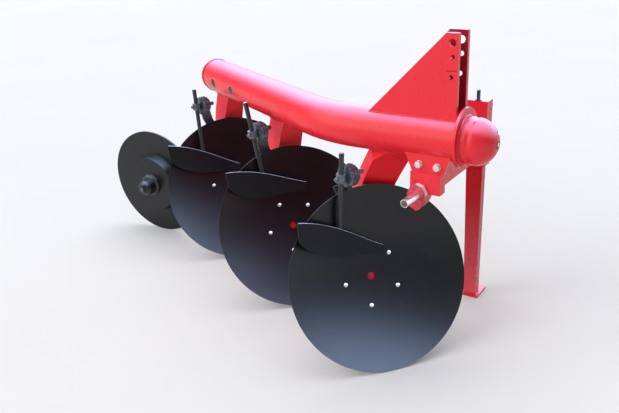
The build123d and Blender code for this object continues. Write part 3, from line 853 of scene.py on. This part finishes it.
# collar: a low rounded ring where each pin leaves its plate
collarR, collarH = head["collarR"], head["collarH"]
collar = [(0, -1), (collarR + 1, -1), (collarR, 1.5), (collarR - 1.5, collarH - 1),
          (collarR - 3, collarH), (0, collarH)]
addPiece("pin_collars", [lathe(pinRoot, pinWay, collar), lathe(farRoot, (0, 1, 0), collar)],
         crankEnamel)
pinEnd = pinRoot + head["pinLen"] * pinWay
addPiece("pin_end_face", [lathe(pinEnd, pinWay, head["endFace"], 32)], sawnSteel)


# bare facets of the crank head, near-white as a painted highlight: its outline's worn run, set off
# by a skin's thickness to each side, carried back from the front face over the worn depth
def makeWornHighlightFacets():
    line = np.array(head["worn"])
    out = line / np.linalg.norm(line, axis=1)[:, None]
    outside, inside = head["wornSkin"]
    loop = np.vstack([line + outside * out, (line - inside * out)[::-1]])
    rings = [pinRoot + loop[:, :1] * faceX + loop[:, 1:] * faceY - depth * pinWay
             for depth in head["wornDepth"]]
    ends = [np.broadcast_to(r.mean(0), r.shape) for r in rings]
    return [(np.stack([ends[0], *rings, ends[1]]), False)]


addPiece("crank_worn_highlight_facets", makeWornHighlightFacets(), rubbedSteelPaintedHighlight, sharp=20)

studBase = np.array(head["studAt"])
studGrids = [thread(studBase - up, up, head["studR"], head["studH"], head["studPitch"],
                    head["studDepth"]), washerAt(studBase, up, *head["studWasher"])]
addPiece("stand_stud", studGrids, blackOxideAndNoseShade)
print("head bolts, pins and stud")

# domed nose of the beam: a pressed cap with a soft neck behind its ball, its bolt and its washer
nose = {
    "capR": 80.0,
    "skirt": 27.0,
    "wall": 8.0,
    "holeR": 8.0,
    "neckAt": 30.0,
    "neckWide": 7.0,
    "neckDeep": 2.6,
    "inset": 0.3,         # how far the cap lies inside the CAD one
    "boltR": 7.6,
    "washerR": 14.0,
}


# skirt, then a quarter circle to the centre hole, both drawn in by a bell-shaped neck; the inner
# wall follows a wall's thickness inside
def makeNose():
    capR, skirt = nose["capR"], nose["skirt"]
    h = np.linspace(0.0, skirt, 16)
    t = np.linspace(0.0, math.acos(nose["holeR"] / capR), 44)
    r = np.concatenate([np.full(16, capR), capR * np.cos(t[1:])])
    h = np.concatenate([h, skirt + capR * np.sin(t[1:])])
    neck = nose["neckDeep"] * np.exp(-((h - nose["neckAt"]) / nose["neckWide"]) ** 2)
    outside = np.stack([r - neck - nose["inset"], h], 1)
    innerR = capR - nose["wall"]
    t2 = np.linspace(math.acos(nose["holeR"] / innerR), 0.0, 24)
    inside = np.stack([innerR * np.cos(t2), skirt + innerR * np.sin(t2)], 1)
    profile = np.vstack([outside, inside, [[innerR, 0.0]]])
    return [lathe(beamTip, (1, 0, 0), profile, 128, closed=True)]


addPiece("nose_cap", makeNose(), beamEnamelPaintedHighlight, sharp=40, replaced=["front_dome"])
noseTip = beamTip + np.array([nose["skirt"] + nose["capR"], 0, 0])
boltR, washerR = nose["boltR"], nose["washerR"]
noseBolt = [(0, -9), (boltR, -9), (boltR, -1.6), (0.9 * boltR, -0.9), (0.5 * boltR, -0.6),
            (0, -0.5)]
addPiece("nose_bolt", [lathe(noseTip, (1, 0, 0), noseBolt, 32)], zincPlate)
# the washer's near-black ring is painted shade: the dark gap round the nose bolt
noseWasher = [(boltR + 0.2, -3), (washerR, -3), (washerR, -0.9), (washerR - 0.8, -0.45),
              (boltR + 0.2, -0.45)]
addPiece("nose_washer", [lathe(noseTip, (1, 0, 0), noseWasher, 40, closed=True)], blackOxideAndNoseShade)
print("nose cap")

# scrapers: ground top edge of each blade, rod ends, set screws in the collars, knuckle nuts
scraper = {
    # corners and pivot of the blade, as shares of the disc's radius across and up its face
    "bladeTop": ((-0.85, 0.715), (0.18, 0.318)),
    "pivot": (-0.358, 0.621),
    "lean": (36.0, -48.0, -1.8),   # how far the blade's ball stands off the dish's
    "gap": 8.0,
    "bladeT": 5.0,
    "edgeR": 1.9,
    "rodR": 9.0,
    "rodClear": 9.5,
    # radius and height of a rod's sawn end
    "rodEnd": ((0, -0.2), (7.6, -0.2), (7.6, 0.4), (6.8, 0.9), (0, 0.9)),
    "screwAt": 17.0,          # from the grip back to the set screw's seat
    "screwOut": 5.0,
    "screw": (13.0, 6.0),     # flats and height
    "screwStub": (4.0, 6.0),
    "washerAt": 57.5,         # from the grip to the knuckle's end
    "washer": (19.0, 3.0),
    "nutAt": 60.0,
    "nut": (27.0, 11.0),
    # blade's turn in degrees and its shift; rod's ends, its grip between them, knuckle's bolt end
    "units": (
        {"turn": 0.0, "shift": (-0.018, 0.0), "hold": 0.7,
         "top": (-0.297, 1.35, 68.0), "low": (-0.339, 0.521), "bolt": (-0.027, 1.148, 0.0)},
        {"turn": 8.8, "shift": (0.0, 0.116), "hold": 0.63,
         "top": (-0.504, 1.552, 96.0), "low": (-0.327, 0.561), "bolt": (-0.179, 1.255, 0.0)},
        {"turn": 2.5, "shift": (-0.082, -0.012), "hold": 0.774,
         "top": (-0.461, 1.409, 82.0), "low": (-0.412, 0.424), "bolt": (-0.194, 1.227, 5.0)},
    ),
}


# top edge of blade k: the corners turned about the pivot and shifted, then the blade's own front
# outline on its ball, kept where it lies above the line between those corners
def bladeEdge(k):
    scraperK = scraper["units"][k]
    turned = math.radians(scraperK["turn"])
    spin = np.array([[math.cos(turned), -math.sin(turned)], [math.sin(turned), math.cos(turned)]])
    pivot = np.array(scraper["pivot"])
    shares = (np.array(scraper["bladeTop"]) - pivot) @ spin.T + pivot + scraperK["shift"]
    start, end = shares * layout["discR"]
    a, u, off = scraper["lean"]
    ball = onDisc(k, a, u, dishCentre + off)
    frontR = dishR - scraper["gap"] - scraper["bladeT"]
    loop = seam(f"scraper_blade_{k + 1}", fromBall(ball, frontR), normal)
    flat = np.stack([(loop - discCentre(k)) @ across, (loop - discCentre(k)) @ upFace], 1)
    run = unit(end - start)
    along = (flat - start) @ run
    keep = (flat - start) @ np.array([-run[1], run[0]]) > -0.8
    edge = loop[keep][np.argsort(along[keep])]
    return edge - 0.5 * scraper["bladeT"] * normal


# rod line of unit k: its top end and its way up from a low end that clears the dish, the grip
# where the collar holds it, and the way from the grip to the knuckle's bolt end
def rodLine(k):
    scraperK, size = scraper["units"][k], layout["discR"]
    top, bolt = (np.array(scraperK[end]) * [size, size, 1.0] for end in ("top", "bolt"))
    low = np.array(scraperK["low"]) * size
    flat = np.linalg.norm(low)
    clear = (scraper["rodR"] + scraper["rodClear"]) / math.sqrt(1 - (flat / dishR) ** 2)
    low = np.array([low[0], low[1], dishHeight(flat, dishR) + clear])
    grip = low + (top - low) * scraperK["hold"]
    turnIn = np.stack([across, upFace, normal])
    return (onDisc(k, *top), unit((top - low) @ turnIn), onDisc(k, *grip),
            unit((bolt - grip) @ turnIn))


for k in range(3):
    edge = resample(bladeEdge(k), 6.0, False)
    addPiece(f"blade_edge_{k + 1}", [tube(edge, scraper["edgeR"], 8)], groundEdge, sharp=40)
    top, along, grip, reach = rodLine(k)
    seat = grip - scraper["screwAt"] * reach
    screw = hexHead(seat - scraper["screwOut"] * reach, -reach, *scraper["screw"], 20.0 * k)
    endGrids = [lathe(top, along, scraper["rodEnd"], 24), screw]
    addPiece(f"scraper_ends_{k + 1}", endGrids, sawnSteel)
    nutGrids = [stubAt(seat, -reach, *scraper["screwStub"]),
                washerAt(grip + scraper["washerAt"] * reach, reach, *scraper["washer"]),
                hexHead(grip + scraper["nutAt"] * reach, reach, *scraper["nut"], 10 + 15 * k)]
    addPiece(f"scraper_nuts_{k + 1}", nutGrids, knucklePaintedSheen)
print("scraper edges, rod ends and nuts")

# rear wheel: the axle's nut and end at the hub's tip, and the nut behind the arm's boss
tail = {
    "x": -1515.0,
    "y": 461.0,
    "r": 265.0,
    "yaw": 87.6,
    "tilt": -3.0,
    "plate": 8.0,
    # where each fastener starts, along the axle from the wheel's middle, and its size
    "capAt": 109.5,
    "cap": (34.0, 7.0),
    "stubAt": 116.6,
    "stub": (8.0, 2.4),
    "washerAt": -104.0,
    "washer": (28.0, 3.0),
    "nutAt": -106.6,
    "nut": (40.0, 14.0),
}
tailYaw, tailTilt = math.radians(tail["yaw"]), math.radians(tail["tilt"])
tailWay = np.array([math.cos(tailYaw) * math.cos(tailTilt), -math.sin(tailYaw) * math.cos(tailTilt),
                    math.sin(tailTilt)])
tailZ = tail["r"] * math.cos(tailTilt) + tail["plate"] / 2 * abs(math.sin(tailTilt))
tailHub = np.array([tail["x"], tail["y"], tailZ])
cap = hexHead(tailHub + tail["capAt"] * tailWay, tailWay, *tail["cap"], 12.0)
addPiece("tail_cap_nut", [cap], castBlack, "tail_wheel_body")
stub = stubAt(tailHub + tail["stubAt"] * tailWay, tailWay, *tail["stub"])
addPiece("tail_cap_stub", [stub], knucklePaintedSheen, "tail_wheel_body")
backGrids = [washerAt(tailHub + tail["washerAt"] * tailWay, -tailWay, *tail["washer"]),
             hexHead(tailHub + tail["nutAt"] * tailWay, -tailWay, *tail["nut"], 5.0)]
addPiece("tail_axle_nut", backGrids, zincPlate)
print("rear wheel nuts")

# stage: pale concrete floor and broad soft light
stageLook = {
    "floorHalf": 40.0,                   # metres
    "concrete": {"colour": "#E3E4E4", "shade": "#DCDDDD"},
    "cloudMm": 1400.0,
    # light from the sky: its dim and lit sides, where the lit one lies, and the ramp's cosines
    "dimSide": (0.10, 0.10, 0.11, 1),
    "litSide": (0.84, 0.84, 0.87, 1),
    "litWay": (-0.72, -0.25, 0.65),
    "litRamp": (-0.5, 0.8),
    # what gloss shows: the sky in front and behind, where behind lies, and the ramp's cosines
    "glossFront": (0.42, 0.44, 0.50, 1),
    "glossBack": (5.2, 6.9, 10.6, 1),
    "backWay": (0.1, 0.45, 0.887),
    "backRamp": (0.3, 0.8),
    "backdrop": "#F6F6F6",
}


# a level sheet of pale concrete with a slow cloud in its colour
def makeFloor():
    half = stageLook["floorHalf"]
    mesh = bpy.data.meshes.new("floor")
    corner = [(x, y, 0) for x, y in corners((-half, half), (-half, half))]
    mesh.from_pydata(corner, [], [(0, 1, 2, 3)])
    floor = addObject("floor", mesh)
    material, tree, place = newMaterial("paleConcrete")
    colour = driftColour(tree, place, stageLook["concrete"], stageLook["cloudMm"], 3.0)
    shader = addNode(tree, "ShaderNodeBsdfPrincipled", {"Roughness": 0.95, "IOR": 1.2},
                     {"Base Color": colour})
    addNode(tree, "ShaderNodeOutputMaterial", links={"Surface": shader.outputs[0]})
    mesh.materials.append(material)


# a sky for diffuse light, brighter to one side by the cosine from that side; a bluer one for
# gloss, bright high up and behind the plough by the cosine from there; near-white to the camera
def makeSky():
    world = bpy.data.worlds.new("softSky")
    bpy.context.scene.world = world
    world.use_nodes = True
    tree = world.node_tree
    tree.nodes.clear()
    way = addNode(tree, "ShaderNodeTexCoord").outputs["Generated"]
    skies = []
    for side, ramp, low, high in (("litWay", "litRamp", "dimSide", "litSide"),
                                  ("backWay", "backRamp", "glossFront", "glossBack")):
        cosine = addNode(tree, "ShaderNodeVectorMath",
                         {"operation": "DOT_PRODUCT", 1: stageLook[side]}, {0: way})
        share = addNode(tree, "ShaderNodeMapRange",
                        {"From Min": stageLook[ramp][0], "From Max": stageLook[ramp][1],
                         "interpolation_type": "SMOOTHSTEP"}, {"Value": cosine.outputs["Value"]})
        colour = addNode(tree, "ShaderNodeMix",
                         {"data_type": "RGBA", mixA: stageLook[low], mixB: stageLook[high]},
                         {mixFactor: share.outputs[0]})
        skies.append(addNode(tree, "ShaderNodeBackground", {"Strength": 1.0},
                             {"Color": colour.outputs[mixOut]}))
    seen = addNode(tree, "ShaderNodeBackground",
                   {"Color": linearColour(stageLook["backdrop"]), "Strength": 1.0})
    path = addNode(tree, "ShaderNodeLightPath")
    shiny = addNode(tree, "ShaderNodeMixShader",
                    links={0: path.outputs["Is Glossy Ray"], 1: skies[0].outputs[0],
                           2: skies[1].outputs[0]})
    mixed = addNode(tree, "ShaderNodeMixShader",
                    links={0: path.outputs["Is Camera Ray"], 1: shiny.outputs[0],
                           2: seen.outputs[0]})
    addNode(tree, "ShaderNodeOutputWorld", links={"Surface": mixed.outputs[0]})


lamps = {
    "key": {"strength": 1.85, "angle": 60.0, "from": (-0.75, -0.85, 0.62),
            "colour": (1.0, 0.99, 0.98)},
    "top": {"strength": 0.95, "angle": 60.0, "from": (-0.1, 0.3, 1.0),
            "colour": (1.0, 1.0, 1.0)},
}


# broad suns, each turned so that it shines from its own direction
def makeLamps():
    for name, lamp in lamps.items():
        data = bpy.data.lights.new(name, "SUN")
        data.energy = lamp["strength"]
        data.angle = math.radians(lamp["angle"])
        data.color = lamp["colour"]
        first, second, d = axes(lamp["from"])
        turned = Matrix(np.column_stack([second, first, d]).tolist()).to_4x4()
        addObject(name, data).matrix_world = turned


view = {
    "place": (1.7712, -2.2855, 1.495),
    "heading": 56.3,      # degrees from -X towards +Y
    "pitch": 21.91,
    "roll": 2.14,
    "lens": 42.16,
    "sensor": 36.0,
    "clip": (0.05, 200.0),
}


# looks down by the pitch along its heading, rolled about its own axis
def makeCamera():
    p, h, r = (math.radians(view[name]) for name in ("pitch", "heading", "roll"))
    level = np.array([-math.cos(h), math.sin(h), 0.0])
    right = np.array([math.sin(h), math.cos(h), 0.0])
    ahead = level * math.cos(p) - math.sin(p) * up
    down = np.cross(ahead, right)
    rightRolled = math.cos(r) * right + math.sin(r) * down
    downRolled = -math.sin(r) * right + math.cos(r) * down
    data = bpy.data.cameras.new("camera")
    data.lens = view["lens"]
    data.sensor_width = view["sensor"]
    data.clip_start, data.clip_end = view["clip"]
    camera = addObject("camera", data)
    turnTo = Matrix(np.column_stack([rightRolled, -downRolled, -ahead]).tolist()).to_4x4()
    turnTo.translation = view["place"]
    camera.matrix_world = turnTo
    bpy.context.scene.camera = camera


makeFloor()
makeSky()
makeLamps()
makeCamera()
bpy.context.scene.view_settings.view_transform = "Standard"
print("stage, lights and camera; own pieces:", len(ownPieces))
